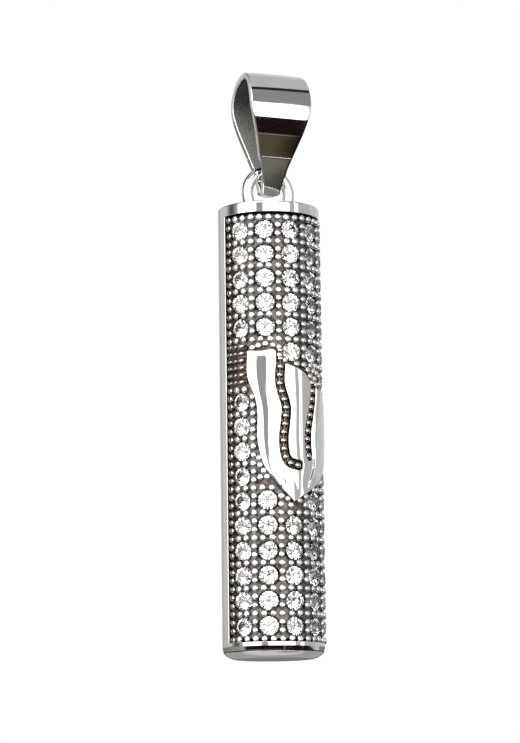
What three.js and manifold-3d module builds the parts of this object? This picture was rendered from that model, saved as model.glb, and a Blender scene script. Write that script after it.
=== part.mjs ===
// A pendant mezuzah case: a slim polished silver tube whose front window holds a pavé plate of round
// stones and a raised three-tongued flame. A round wire loop on its top cap hangs in a tapered bail.
// A push-fit plug closes its lower end, and a rolled scroll lies inside.
//
// Millimetres, +Z up along the tube, the decorated front faces -Y. The origin is on the tube's axis,
// at the height of the bail's inside top, where the neck chain runs.
// Heights named "level" are measured from the upper edge of the pavé window, downwards negative.
import * as THREE from "three";
import { mergeVertices } from "three/addons/utils/BufferGeometryUtils.js";
import Module from "manifold-3d";

const wasm = await Module();
wasm.setup();

// Tube, window and caps
const CASE_RADIUS = 3.5;
const BORE_RADIUS = 2.6;
const WINDOW_LENGTH = 29.38;
const WINDOW_HALF_ANGLE = 86; // degrees either side of the front
const RIM_LEVEL = 0.4; // upper end of the tube
const CAP_LEVEL = 0.78; // flat top of the cap
const CAP_EDGE = 0.12;
const BAND_LEVEL = -29.96; // lower end of the tube
const PLUG_LEVEL = -30.42; // flat underside of the plug
const PLUG_EDGE = 0.33;
const SPIGOT_LENGTH = 2.4;
const SPIGOT_LEAD = 0.25;
const SEAM = 0.04; // clearance kept between neighbouring pieces

// Pavé plate and stones
const PLATE_OUTER = 3.4;
const PLATE_INNER = 2.66;
const STONE_RADIUS = 0.625;
const STONE_COLUMN_ANGLES = [-62, -31, 0, 31, 62];
const STONE_ROWS = 17;
const FIRST_ROW_LEVEL = -1.22;
const ROW_PITCH = 1.696;
const GIRDLE_RADIUS = 3.36; // distance of a stone's girdle from the tube's axis
const CROWN_HEIGHT = 0.2;
const TABLE_RADIUS = 0.35;
const PAVILION_DEPTH = 0.52;
const FACETS = 8;

// Wire loop on the cap
const LOOP_RADIUS = 1.59; // to the middle of the wire
const WIRE_RADIUS = 0.395;
const LOOP_LEVEL = 1.93; // centre of the loop
const PIVOT_LEVEL = LOOP_LEVEL + LOOP_RADIUS; // top of the loop, where the bail hangs

// Bail: heights are measured from the pivot
const STRAP = 0.45;
const BAIL_HALF_DEPTH = 2.1;
const BAIL_CROWN = 3.95; // where the legs end and the round top starts
const BAIL_TOP = 6.85;
const BAIL_TIP = -1.75;
const BAIL_WIDTH = 4.4;
const BAIL_TURN = -4; // degrees about the vertical, the way the bail hangs on the loop
const BAIL_PITCH = 5.2; // degrees forwards
const BAIL_LEAN = 0.2; // degrees to the side
const BAIL_SHIFT = 0.13; // sideways along the loop's wire

// Emblem
const EMBLEM_INNER = 3.45;
const EMBLEM_OUTER = 3.76;
const SLOT_HALF_WIDTH = 0.29;
const BEAD_RADIUS = 0.19;
const BEAD_LINE_RADIUS = 3.6; // distance of the beaded wires from the tube's axis

// Scroll
const SCROLL_RADIUS = 1.95;
const SCROLL_LENGTH = 26;
const SCROLL_BORE = 0.45;
const TIE_RADIUS = 0.12;

const CHAIN_LEVEL = PIVOT_LEVEL + BAIL_TOP - STRAP;
const ROUND = 48; // segments round the tube

const degrees = THREE.MathUtils.degToRad;
const point = (x, y) => new THREE.Vector2(x, y);

const silver = (shade) => new THREE.MeshStandardMaterial({ color: shade, roughness: 0.12, metalness: 1 });
const polished = () => silver(0xd9d9d6);
const darkened = () => silver(0x8e8b85);
const crystal = () => new THREE.MeshStandardMaterial({ color: 0xf3f5f7, roughness: 0.03, metalness: 0 });
const parchment = () => new THREE.MeshStandardMaterial({ color: 0xe4d6b4, roughness: 0.85, metalness: 0 });
const thread = () => new THREE.MeshStandardMaterial({ color: 0xc9bfa8, roughness: 0.9, metalness: 0 });

// A closed geometry as a solid that can be joined and cut.
function solidOf(geometry) {
  const bare = geometry.clone();
  bare.deleteAttribute("normal");
  bare.deleteAttribute("uv");
  const merged = mergeVertices(bare, 1e-4);
  const vertProperties = new Float32Array(merged.attributes.position.array);
  const triVerts = new Uint32Array(merged.index.array);
  return new wasm.Manifold(new wasm.Mesh({ numProp: 3, vertProperties, triVerts }));
}

function geometryOf(solid) {
  const mesh = solid.getMesh();
  return new THREE.BufferGeometry()
    .setAttribute("position", new THREE.BufferAttribute(new Float32Array(mesh.vertProperties), 3))
    .setIndex(new THREE.BufferAttribute(new Uint32Array(mesh.triVerts), 1));
}

function named(name, geometry, material) {
  const mesh = new THREE.Mesh(geometry, material);
  mesh.name = name;
  geometry.computeVertexNormals();
  return mesh;
}

// A body turned about the vertical from [radius, level] corners, given from the bottom up.
function turned(corners, segments = ROUND) {
  const profile = corners.map(([radius, level]) => point(radius, level));
  return new THREE.LatheGeometry(profile, segments).rotateX(Math.PI / 2);
}

// A sector of a round shell, centred on the front.
function frontSector(inner, outer, low, high, halfAngle, segments) {
  const shape = new THREE.Shape();
  const along = (radius, from, to) => {
    for (let i = 0; i <= segments; i++) {
      const angle = degrees(from + ((to - from) * i) / segments);
      const corner = [radius * Math.sin(angle), -radius * Math.cos(angle)];
      if (radius === outer && i === 0) shape.moveTo(...corner);
      else shape.lineTo(...corner);
    }
  };
  along(outer, -halfAngle, halfAngle);
  along(inner, halfAngle, -halfAngle);
  shape.closePath();
  return new THREE.ExtrudeGeometry(shape, { depth: high - low, bevelEnabled: false }).translate(0, 0, low);
}

// Moves a shape that points outwards along -Y to its angle round the tube.
function aroundTube(geometry, angle, level) {
  return geometry.rotateZ(degrees(angle)).translate(0, 0, level);
}

// A round section about the -Y direction: corners are [radius, distance from the tube's axis].
function outwards(corners, segments = FACETS) {
  const profile = corners.map(([radius, distance]) => point(radius, distance));
  return new THREE.LatheGeometry(profile, segments, Math.PI / FACETS).rotateX(Math.PI);
}

// ---- Tube, plate and stones ----

function caseTube() {
  const tube = turned([
    [BORE_RADIUS, BAND_LEVEL],
    [CASE_RADIUS, BAND_LEVEL],
    [CASE_RADIUS, RIM_LEVEL],
    [BORE_RADIUS, RIM_LEVEL],
    [BORE_RADIUS, BAND_LEVEL],
  ]);
  const window = frontSector(
    BORE_RADIUS - 0.5, CASE_RADIUS + 0.5, -WINDOW_LENGTH, 0, WINDOW_HALF_ANGLE, ROUND / 2,
  );
  return geometryOf(solidOf(tube).subtract(solidOf(window)));
}

// The stones that the emblem leaves room for, as [column, row], rows counted from the top.
function stonePlaces() {
  const covered = [
    [6, 7], // beside the emblem's upper corner
    [6, 7, 8, 9, 10, 11],
    [7, 8, 9, 10, 11, 12],
    [7, 8, 9, 10, 11],
    [8, 9, 10],
  ];
  return covered.flatMap((rows, column) =>
    Array.from({ length: STONE_ROWS }, (_, i) => i + 1)
      .filter((row) => !rows.includes(row))
      .map((row) => [column, row]),
  );
}

const rowLevel = (row) => FIRST_ROW_LEVEL - (row - 1) * ROW_PITCH;

function pavePlate() {
  const seatRadius = STONE_RADIUS + 0.035;
  const shoulder = GIRDLE_RADIUS - 0.05;
  const seat = () =>
    outwards([
      [0, shoulder - PAVILION_DEPTH - 0.05],
      [seatRadius, shoulder],
      [seatRadius, CASE_RADIUS + 0.5],
      [0, CASE_RADIUS + 0.5],
    ]);
  const sector = frontSector(
    PLATE_INNER, PLATE_OUTER, SEAM - WINDOW_LENGTH, -SEAM, WINDOW_HALF_ANGLE - 0.7, 18,
  );
  const seats = stonePlaces().map(([column, row]) =>
    solidOf(aroundTube(seat(), STONE_COLUMN_ANGLES[column], rowLevel(row))),
  );
  return geometryOf(seats.reduce((plate, cutter) => plate.subtract(cutter), solidOf(sector)));
}

function stone() {
  return outwards([
    [0, GIRDLE_RADIUS - PAVILION_DEPTH],
    [STONE_RADIUS, GIRDLE_RADIUS - 0.02],
    [STONE_RADIUS, GIRDLE_RADIUS + 0.02],
    [TABLE_RADIUS, GIRDLE_RADIUS + CROWN_HEIGHT],
    [0, GIRDLE_RADIUS + CROWN_HEIGHT],
  ]);
}

// ---- Caps ----

function topCap() {
  const under = RIM_LEVEL + SEAM;
  return turned([
    [0, under - 0.6],
    [BORE_RADIUS - SEAM, under - 0.6],
    [BORE_RADIUS - SEAM, under],
    [CASE_RADIUS, under],
    [CASE_RADIUS, CAP_LEVEL - CAP_EDGE],
    [CASE_RADIUS - CAP_EDGE, CAP_LEVEL],
    [0, CAP_LEVEL],
  ]);
}

function bottomPlug() {
  const face = BAND_LEVEL - SEAM;
  const spigot = BORE_RADIUS - SEAM;
  const end = face + SPIGOT_LENGTH;
  const edgeCentre = [CASE_RADIUS - PLUG_EDGE, PLUG_LEVEL + PLUG_EDGE];
  const edge = [0, 22.5, 45, 67.5, 90].map((angle) => [
    edgeCentre[0] + PLUG_EDGE * Math.sin(degrees(angle)),
    edgeCentre[1] - PLUG_EDGE * Math.cos(degrees(angle)),
  ]);
  return turned([[0, PLUG_LEVEL], ...edge, [CASE_RADIUS, face], [spigot, face],
    [spigot, end - SPIGOT_LEAD], [spigot - SPIGOT_LEAD, end], [0, end]]);
}

// ---- Loop and bail ----

// A round wire bent into a loop, its lower side filed flat where it stands on the cap.
function loopRing() {
  const wire = solidOf(new THREE.TorusGeometry(LOOP_RADIUS, WIRE_RADIUS, 10, 32).rotateX(Math.PI / 2)
    .translate(0, 0, LOOP_LEVEL));
  const below = new THREE.BoxGeometry(6, 3, 4).translate(0, 0, CAP_LEVEL + SEAM - 2);
  return geometryOf(wire.subtract(solidOf(below)));
}

// Half the strap's depth at each height, from the joined tongue up to the start of the round top.
function bailSide(offset) {
  const legs = new THREE.SplineCurve([
    point(0.99, 0), point(1.27, 0.97), point(1.82, 2.42), point(2.07, 3.4),
    point(BAIL_HALF_DEPTH, BAIL_CROWN),
  ]).getPoints(10);
  const arc = [15, 30, 45, 60, 75].map((angle) => point(
    (BAIL_HALF_DEPTH - offset) * Math.cos(degrees(angle)),
    BAIL_CROWN + (BAIL_TOP - BAIL_CROWN - offset) * Math.sin(degrees(angle)),
  ));
  return [...legs.map((p) => point(p.x - offset, p.y)), ...arc];
}

// The teardrop seen from the side: outer outline, and the hole that opens above the joined legs.
function bailProfile() {
  const mirrored = (half, top) => {
    const left = half.map((p) => point(-p.x, p.y)).reverse();
    return [...half, point(0, top), ...left];
  };
  const tongue = [point(0.48, BAIL_TIP), point(0.66, -1.1), point(0.82, -0.6)];
  const cradle = [point(0.06, -0.98), point(0.44, -0.6), point(0.53, -0.3)];
  const shape = new THREE.Shape(mirrored([...tongue, ...bailSide(0)], BAIL_TOP));
  shape.holes.push(new THREE.Path(mirrored([...cradle, ...bailSide(STRAP)], BAIL_TOP - STRAP)));
  return shape;
}

// The strap seen from the front: parallel at the top, tapering to a rounded tongue.
function bailFront() {
  const half = BAIL_WIDTH / 2;
  const taper = new THREE.SplineCurve([
    point(0.68, -1.3), point(0.95, 0), point(1.55, 1.9), point(2.05, 3.7), point(half, 5),
  ]).getPoints(10);
  const side = [point(0.45, BAIL_TIP), point(0.62, BAIL_TIP + 0.15), ...taper, point(half, BAIL_TOP + 1)];
  return new THREE.Shape([...side, ...side.map((p) => point(-p.x, p.y)).reverse()]);
}

// The room that the eye of the loop sweeps as the case swings: a waisted body round the pivot line.
function loopSweep() {
  const eye = LOOP_RADIUS - WIRE_RADIUS;
  const reach = 0.96 * eye;
  const waist = Array.from({ length: 9 }, (_, i) => {
    const x = reach * (i / 4 - 1);
    return point(LOOP_RADIUS - Math.sqrt(eye * eye - x * x) + SEAM, x);
  });
  return new THREE.LatheGeometry([point(0, -reach), ...waist, point(0, reach)], 24).rotateZ(-Math.PI / 2);
}

// The strap as it hangs on the loop, turned, tipped forwards and leaning a little, and relieved for the loop.
function bailStrap() {
  const blank = (shape) => new THREE.ExtrudeGeometry(shape, { depth: 8, bevelEnabled: false })
    .translate(0, 0, -4).rotateX(Math.PI / 2);
  const hang = (geometry) => geometry.rotateX(degrees(BAIL_PITCH)).rotateY(degrees(BAIL_LEAN))
    .rotateZ(degrees(BAIL_TURN)).translate(BAIL_SHIFT, 0, 0);
  const side = solidOf(hang(blank(bailProfile()).rotateZ(Math.PI / 2)));
  const front = solidOf(hang(blank(bailFront())));
  return geometryOf(side.intersect(front).subtract(solidOf(loopSweep())));
}

// ---- Emblem: outlines are drawn as seen from the front, x across and level down ----

const slotLines = {
  left: new THREE.SplineCurve([
    point(-1.0, -9.3), point(-1.02, -10.4), point(-1.1, -11.7), point(-0.98, -12.5), point(-0.7, -13.5),
    point(-0.76, -14.5), point(-0.89, -15.7), point(-0.74, -16.8), point(-0.4, -17.32), point(0.3, -17.5),
  ]),
  right: new THREE.SplineCurve([
    point(1.72, -11.3), point(1.68, -12.6), point(1.45, -13.8), point(1.18, -15.0), point(1.13, -16.0),
    point(1.22, -16.8),
  ]),
};

// A band of even width along a line, with a blunt pointed end.
function slotBand(line, halfWidth, steps) {
  const sides = [[], []];
  for (let i = 0; i <= steps; i++) {
    const t = i / steps;
    const middle = line.getPoint(t);
    const across = line.getTangent(t).rotateAround(point(0, 0), Math.PI / 2).multiplyScalar(halfWidth);
    sides[0].push(middle.clone().add(across));
    sides[1].push(middle.clone().sub(across));
  }
  const nose = line.getPoint(1).add(line.getTangent(1).multiplyScalar(halfWidth * 0.7));
  return new THREE.Shape([...sides[0], nose, ...sides[1].reverse()]);
}

function emblemOutline() {
  const leftSide = new THREE.SplineCurve([
    point(-2.86, -9.62), point(-2.87, -11.4), point(-2.5, -12.9), point(-2.38, -14.0), point(-2.38, -15.9),
    point(-2.02, -17.57), point(-1.23, -18.8), point(-0.06, -20.0),
  ]).getPoints(16);
  const rightSide = new THREE.SplineCurve([
    point(-0.06, -20.0), point(1.32, -19.15), point(2.2, -18.4), point(2.75, -17.4), point(2.95, -15.5),
    point(2.9, -13.6), point(2.7, -12.6),
  ]).getPoints(12);
  const top = [
    point(2.0, -12.0), point(1.45, -11.7), point(0.85, -11.1), point(0.2, -10.8), point(-0.3, -10.62),
    point(-1.0, -10.5), point(-1.3, -9.62), point(-2.1, -9.68),
  ];
  return new THREE.Shape([...leftSide, ...rightSide.slice(1), ...top]);
}

function seenFromFront(shape) {
  return new THREE.ExtrudeGeometry(shape, { depth: 5, bevelEnabled: false }).rotateX(Math.PI / 2);
}

function emblem() {
  const shell = solidOf(frontSector(EMBLEM_INNER, EMBLEM_OUTER, -21, -9, 75, 24));
  let flame = shell.intersect(solidOf(seenFromFront(emblemOutline())));
  for (const line of Object.values(slotLines))
    flame = flame.subtract(solidOf(seenFromFront(slotBand(line, SLOT_HALF_WIDTH, 14))));
  return geometryOf(flame);
}

// A fine wire on the plate with a row of round beads on it, seated in a slot of the emblem.
function beadWire(line, from, to, beads) {
  const onTube = (t) => {
    const p = line.getPoint(t);
    const angle = Math.asin(p.x / BEAD_LINE_RADIUS);
    return new THREE.Vector3(p.x, -BEAD_LINE_RADIUS * Math.cos(angle), p.y);
  };
  const places = Array.from({ length: beads }, (_, i) => onTube(from + ((to - from) * i) / (beads - 1)));
  const section = new THREE.Shape(Array.from({ length: 6 }, (_, i) => {
    const turn = (i * Math.PI) / 3;
    return point(0.08 * Math.cos(turn), 0.08 * Math.sin(turn));
  }));
  const core = new THREE.ExtrudeGeometry(section, {
    steps: beads, bevelEnabled: false, extrudePath: new THREE.CatmullRomCurve3(places),
  });
  const bead = (p) => solidOf(new THREE.IcosahedronGeometry(BEAD_RADIUS, 0).translate(p.x, p.y, p.z));
  return geometryOf(places.reduce((wire, p) => wire.add(bead(p)), solidOf(core)));
}

// ---- Scroll ----

function scrollRoll() {
  const length = SCROLL_LENGTH / 2;
  return turned([
    [SCROLL_BORE, -length], [SCROLL_RADIUS, -length], [SCROLL_RADIUS, length], [SCROLL_BORE, length],
    [SCROLL_BORE, -length],
  ], 20);
}

// ---- Assembly ----

const mezuzahCase = new THREE.Group();

const caseGroup = new THREE.Group();
caseGroup.position.z = -CHAIN_LEVEL;
mezuzahCase.add(caseGroup);

caseGroup.add(named("case_tube", caseTube(), polished()));
caseGroup.add(named("top_cap", topCap(), polished()));
caseGroup.add(named("bottom_plug", bottomPlug(), polished()));
caseGroup.add(named("loop_ring", loopRing(), polished()));
caseGroup.add(named("pave_plate", pavePlate(), darkened()));
caseGroup.add(named("emblem", emblem(), polished()));
caseGroup.add(named("bead_wire_left", beadWire(slotLines.left, 0.05, 0.98, 13), polished()));
caseGroup.add(named("bead_wire_right", beadWire(slotLines.right, 0.08, 0.98, 9), polished()));

// Four columns of stones are pieces of their own here, and the fifth column's seats are left open.
const MODELLED_COLUMNS = 4;
for (const [column, row] of stonePlaces().filter(([column]) => column < MODELLED_COLUMNS)) {
  const name = "stone_" + "abcd"[column] + String(row).padStart(2, "0");
  const cut = named(name, stone(), crystal());
  cut.rotation.z = degrees(STONE_COLUMN_ANGLES[column]);
  cut.position.z = rowLevel(row);
  caseGroup.add(cut);
}

const scrollGroup = new THREE.Group();
scrollGroup.position.z = BAND_LEVEL + SPIGOT_LENGTH + 0.1 + SCROLL_LENGTH / 2;
caseGroup.add(scrollGroup);
scrollGroup.add(named("scroll", scrollRoll(), parchment()));
const tie = new THREE.TorusGeometry(SCROLL_RADIUS + TIE_RADIUS + SEAM, TIE_RADIUS, 6, 24);
scrollGroup.add(named("scroll_tie", tie, thread()));

const bail = named("bail_strap", bailStrap(), polished());
bail.position.z = PIVOT_LEVEL - CHAIN_LEVEL;
mezuzahCase.add(bail);

export default mezuzahCase;
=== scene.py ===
"""Looks of the pendant mezuzah case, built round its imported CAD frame.

Shapes are worked out in millimetres and turned into metres when a piece is made. A "level" is a height
measured from the upper edge of the pavé window, downwards negative. Angles are degrees round the tube,
0 at the front (-Y) and positive towards +X.
"""

import math
import random

import bmesh
import bpy
import numpy as np
from mathutils import Matrix, Vector, geometry


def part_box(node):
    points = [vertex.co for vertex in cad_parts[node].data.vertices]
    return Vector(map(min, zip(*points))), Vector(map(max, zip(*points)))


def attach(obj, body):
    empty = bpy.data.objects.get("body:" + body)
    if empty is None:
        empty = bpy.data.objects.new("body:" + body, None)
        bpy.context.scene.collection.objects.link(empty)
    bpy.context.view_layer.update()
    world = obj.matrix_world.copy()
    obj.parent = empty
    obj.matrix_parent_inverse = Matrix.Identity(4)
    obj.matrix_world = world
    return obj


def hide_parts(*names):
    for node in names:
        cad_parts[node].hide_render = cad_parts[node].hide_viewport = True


MM = 0.001

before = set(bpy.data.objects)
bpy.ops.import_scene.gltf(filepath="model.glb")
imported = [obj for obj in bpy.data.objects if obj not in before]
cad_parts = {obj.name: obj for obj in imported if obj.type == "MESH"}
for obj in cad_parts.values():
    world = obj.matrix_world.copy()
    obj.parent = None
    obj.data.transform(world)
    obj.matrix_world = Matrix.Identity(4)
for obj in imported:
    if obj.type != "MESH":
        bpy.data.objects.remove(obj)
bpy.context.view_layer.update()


def box_mm(node):
    """Lowest and highest corner of a CAD node, in millimetres."""
    low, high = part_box(node)
    return low / MM, high / MM


# ---- Sizes: the frame gives the driving ones ----

tube_low, tube_high = box_mm("case_tube")
plug_low, plug_high = box_mm("bottom_plug")
cap_high = box_mm("top_cap")[1]
loop_high = box_mm("loop_ring")[1]
scroll_low, scroll_high = box_mm("scroll")

CASE_RADIUS = tube_high.x
BORE_RADIUS = 2.6
END_TAPER = 0.07  # the tube's lower end is filed in by this much to meet the plug
TAPER_LENGTH = 0.3
RIM_LEVEL = 0.4
WINDOW_TOP = tube_high.z - RIM_LEVEL
BAND_LEVEL = tube_low.z - WINDOW_TOP
CAP_LEVEL = cap_high.z - WINDOW_TOP
PLUG_LEVEL = plug_low.z - WINDOW_TOP
WINDOW_LENGTH = 29.38
WINDOW_HALF_ANGLE = 86

PLATE_INNER = 2.66
PLATE_FLOOR = 3.27  # radius of the recessed ground between beads and stones
PLATE_HALF_ANGLE = WINDOW_HALF_ANGLE - 0.2
GROOVE = 0.14  # width of the groove round the plate, painted near black as shade
GROOVE_FLOOR = 2.95

STONE_RADIUS = 0.625
COLUMN_STEP = 31  # degrees from one column of stones to the next
STONE_COLUMNS = {letter: (k - 2) * COLUMN_STEP for k, letter in enumerate("abcde")}
STONE_ROWS = 17
FIRST_ROW_LEVEL = -1.22
ROW_PITCH = 1.696
GIRDLE_RADIUS = 3.36  # of the girdle, from the tube's axis
STONE_TILT = 6  # most that a stone leans in its seat, in degrees
STONE_OVERSIZE = 1.03  # a set stone hides the edge of its seat
ROWS_LEFT_OUT = {  # under the emblem and the ribs
    "a": range(6, 8),
    "b": range(6, 12),
    "c": range(7, 13),
    "d": range(7, 12),
    "e": range(8, 11),
}

BEAD_RADIUS = 0.215
BEAD_CENTRE = 3.46  # distance of a bead's middle from the tube's axis
BEADS_PER_PITCH = 3
RIBS_LEFT, RIBS_RIGHT = -84, -53  # the angles that bound the two short rows of ribs
SHADED_LEFT = -72  # left of this angle the beads are painted darker as shade, close to the tube's wall

LOOP_RADIUS = 1.59
WIRE_RADIUS = loop_high.x - LOOP_RADIUS
LOOP_Z = loop_high.z - loop_high.x
PIVOT_Z = LOOP_Z + LOOP_RADIUS

STRAP = 0.45
BAIL_HALF_DEPTH = 2.1
BAIL_CROWN = 3.95  # heights on the bail are measured from the pivot
BAIL_TIP = -1.75
BAIL_TOP = STRAP - PIVOT_Z  # the chain runs at height 0, under the strap
BAIL_TURN = -4
BAIL_LEAN = 0.2
BAIL_PITCH = 5.2
BAIL_SHIFT = 0.13

EMBLEM_BASE = 3.3
EMBLEM_EDGE = 3.64
SLOT_HALF_WIDTH = 0.33
WIRE_BEAD_RADIUS = 0.25
BEAD_LINE_RADIUS = 3.45
LEFT_CREST_TILT = 0.06  # how much the left tongue's flat crest slants, below its shoulder
LEFT_SHOULDER = -12.6
TIP_FADE = 1.5  # over this length the crests sink into the emblem's tip

FLOOR_Z = -0.085  # in metres, below the pulled-out plug
FLOOR_REACH = 1.2


# ---- Mesh helpers ----

def mesh_of(verts, faces):
    """A mesh from corners in millimetres, its faces turned outwards."""
    mesh = bpy.data.meshes.new("shape")
    mesh.from_pydata([tuple(v) for v in verts], [], [tuple(f) for f in faces])
    work = bmesh.new()
    work.from_mesh(mesh)
    bmesh.ops.remove_doubles(work, verts=work.verts, dist=1e-5)
    bmesh.ops.recalc_face_normals(work, faces=work.faces)
    work.to_mesh(mesh)
    work.free()
    return mesh


def new_object(name, data):
    """An object in the scene, from a mesh, lamp or camera."""
    thing = bpy.data.objects.new(name, data)
    bpy.context.scene.collection.objects.link(thing)
    return thing


def with_modifiers(mesh, modifiers):
    """The mesh after a list of (type, settings) modifiers."""
    thing = new_object("work", mesh)
    for kind, settings in modifiers:
        modifier = thing.modifiers.new(kind, kind)
        for key, value in settings.items():
            setattr(modifier, key, value)
    graph = bpy.context.evaluated_depsgraph_get()
    result = bpy.data.meshes.new_from_object(thing.evaluated_get(graph))
    bpy.data.objects.remove(thing)
    return result


def smoothed(mesh, sharp_angle):
    """Smooth shading, but for edges sharper than the angle."""
    mesh.shade_smooth()
    mesh.set_sharp_from_angle(angle=math.radians(sharp_angle))
    return mesh


def weighted(mesh):
    """Smooth shading that keeps broad faces true beside narrow bevels."""
    return with_modifiers(smoothed(mesh, 50), [("WEIGHTED_NORMAL", {"keep_sharp": True, "weight": 50})])


def piece(name, mesh, body, material, stands_for=(), second=None, takes_second=None):
    """Makes a mesh in millimetres a named piece. Faces that takes_second picks get the second material."""
    mesh.materials.clear()
    mesh.materials.append(material)
    if second:
        mesh.materials.append(second)
        for face in mesh.polygons:
            face.material_index = int(takes_second(face.center, face.normal))
    mesh.transform(Matrix.Scale(MM, 4))
    mesh.name = name
    thing = new_object(name, mesh)
    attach(thing, body)
    if stands_for:
        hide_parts(*stands_for)


def grid_faces(rows, columns, closed=True, wrap_rows=False, start=0):
    """Four-sided faces over a grid of corners stored row by row, each row a closed ring or an open line."""
    def corner(i, j):
        return start + i % rows * columns + j % columns

    return [
        (corner(i, j), corner(i, j + 1), corner(i + 1, j + 1), corner(i + 1, j))
        for i in range(rows if wrap_rows else rows - 1)
        for j in range(columns if closed else columns - 1)
    ]


def capped_faces(rings, across):
    """Faces over rings of corners stored between a first and a last corner that close the ends."""
    faces = grid_faces(rings, across, start=1)
    top = 1 + (rings - 1) * across
    for j in range(across):
        faces.append((0, 1 + (j + 1) % across, 1 + j))
        faces.append((top + across, top + j, top + (j + 1) % across))
    return faces


def end_faces(count, around):
    """The two flat ends of a tube of rings."""
    last = count - around
    return [tuple(range(around))[::-1], tuple(range(last, count))]


def sheet_faces(faces, count):
    """A closed sheet: the faces, the same ones over a second set of corners, and walls along the edges."""
    sides = {(face[k - 1], face[k]) for face in faces for k in range(len(face))}
    walls = [(b, a, count + a, count + b) for a, b in sides if (b, a) not in sides]
    return faces + [tuple(count + i for i in reversed(face)) for face in faces] + walls


def smooth_curve(points, steps=12):
    """Points along a Catmull-Rom curve through the given ones."""
    p = np.array(points, float)
    p = np.vstack([2 * p[0] - p[1], p, 2 * p[-1] - p[-2]])
    curve = []
    for a, b, c, d in zip(p, p[1:], p[2:], p[3:]):
        for t in np.arange(steps) / steps:
            curve.append(0.5 * (2 * b + (c - a) * t + (2 * a - 5 * b + 4 * c - d) * t**2
                                + (3 * b - a - 3 * c + d) * t**3))
    curve.append(p[-2])
    return np.array(curve)


def rounded(corners, radius, steps=5):
    """An open line whose inner corners are rounded."""
    p = np.array(corners, float)
    line = [p[0]]
    for a, b, c in zip(p, p[1:], p[2:]):
        into, out = a - b, c - b
        reach = min(radius, np.linalg.norm(into) * 0.49, np.linalg.norm(out) * 0.49)
        start, end = b + into / np.linalg.norm(into) * reach, b + out / np.linalg.norm(out) * reach
        for t in np.linspace(0, 1, steps + 1):
            line.append((1 - t) ** 2 * start + 2 * t * (1 - t) * b + t**2 * end)
    line.append(p[-1])
    return np.array(line)


def turned(profile, segments=160):
    """A closed body turned about the vertical from [radius, level] points that start and end on the axis."""
    angles = np.linspace(0, 360, segments, endpoint=False)
    rings = [on_tube(radius, angles, level) for radius, level in profile[1:-1]]
    first, last = [on_tube(0, 0, profile[k][1]) for k in (0, -1)]
    return mesh_of(np.vstack([first, *rings, last]), capped_faces(len(rings), segments))


def ball(radius, across=20, rings=12):
    """Corners and faces of a round bead about the origin."""
    tilt = np.repeat(math.pi * np.arange(1, rings) / rings, across)
    turn = np.tile(2 * math.pi * np.arange(across) / across, rings - 1)
    sides = np.stack([np.sin(tilt) * np.cos(turn), np.sin(tilt) * np.sin(turn), -np.cos(tilt)], -1)
    return radius * np.vstack([(0, 0, -1), sides, (0, 0, 1)]), capped_faces(rings - 1, across)


def gathered(parts):
    """One mesh from a list of (corners, faces) parts."""
    verts, faces = [], []
    for corners, sides in parts:
        shift = len(verts)
        verts += [tuple(c) for c in corners]
        faces += [tuple(i + shift for i in side) for side in sides]
    mesh = bpy.data.meshes.new("parts")
    mesh.from_pydata(verts, [], faces)
    mesh.shade_smooth()
    return mesh


def on_tube(radius, angle, level):
    """Points at a radius, angle and level of the case, each a number or an array."""
    turn = np.radians(angle)
    height = level + WINDOW_TOP
    return np.stack(np.broadcast_arrays(radius * np.sin(turn), -radius * np.cos(turn), height), -1)


def axes_at(angle):
    """The directions across, up and outwards at an angle of the case, as the columns of a matrix."""
    turn = math.radians(angle)
    return np.array([[math.cos(turn), 0, math.sin(turn)], [math.sin(turn), 0, -math.cos(turn)], [0, 1, 0]])


# ---- Materials ----

def new_material(name, metallic=0.0):
    """A material, its node tree and its main shader."""
    material = bpy.data.materials.new(name)
    material.use_nodes = True
    tree = material.node_tree
    shader = tree.nodes["Principled BSDF"]
    feed(shader, {"Metallic": metallic})
    return material, tree, shader


def feed(receiver, values):
    """Links or sets some of a node's sockets."""
    for socket, value in values.items():
        if isinstance(value, bpy.types.NodeSocket):
            receiver.id_data.links.new(value, receiver.inputs[socket])
        else:
            receiver.inputs[socket].default_value = value


def node(tree, kind, values=(), **settings):
    """A new shader node with some of its sockets linked or set."""
    made = tree.nodes.new(kind)
    for key, value in settings.items():
        setattr(made, key, value)
    feed(made, dict(values))
    return made


def noise(tree, scale, detail=4.0, roughness=0.55, stretch=(1, 1, 1)):
    """Noise in the object's own space, its scale in features per millimetre."""
    place = node(tree, "ShaderNodeTexCoord").outputs["Object"]
    fitted = node(tree, "ShaderNodeMapping", {"Vector": place, "Scale": [s / MM for s in stretch]})
    return node(tree, "ShaderNodeTexNoise", {
        "Vector": fitted.outputs["Vector"], "Scale": scale, "Detail": detail, "Roughness": roughness,
    }).outputs["Fac"]


def ranged(tree, source, low, high, from_low=0.3, from_high=0.7):
    """Spreads a value over a new range. Noise stays mostly between 0.3 and 0.7."""
    return node(tree, "ShaderNodeMapRange", {
        "Value": source, "From Min": from_low, "From Max": from_high, "To Min": low, "To Max": high,
    }).outputs["Result"]


def calculated(tree, operation, *values, **settings):
    """The result of a Math node."""
    return node(tree, "ShaderNodeMath", dict(enumerate(values)), operation=operation, **settings).outputs[0]


def blended(tree, factor, first, second):
    """A mix of two colours. The first may be a socket."""
    if not isinstance(first, bpy.types.NodeSocket):
        first = (*first, 1)
    mix = node(tree, "ShaderNodeMix", {"Factor": factor, "A": first, "B": (*second, 1)}, data_type="RGBA")
    return mix.outputs["Result"]


def raise_relief(tree, shader, height, depth):
    """Raises a noise as relief, its depth in millimetres."""
    bump = node(tree, "ShaderNodeBump", {"Height": height, "Distance": depth * MM, "Strength": 1.0})
    feed(shader, {"Normal": bump.outputs["Normal"]})


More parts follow.
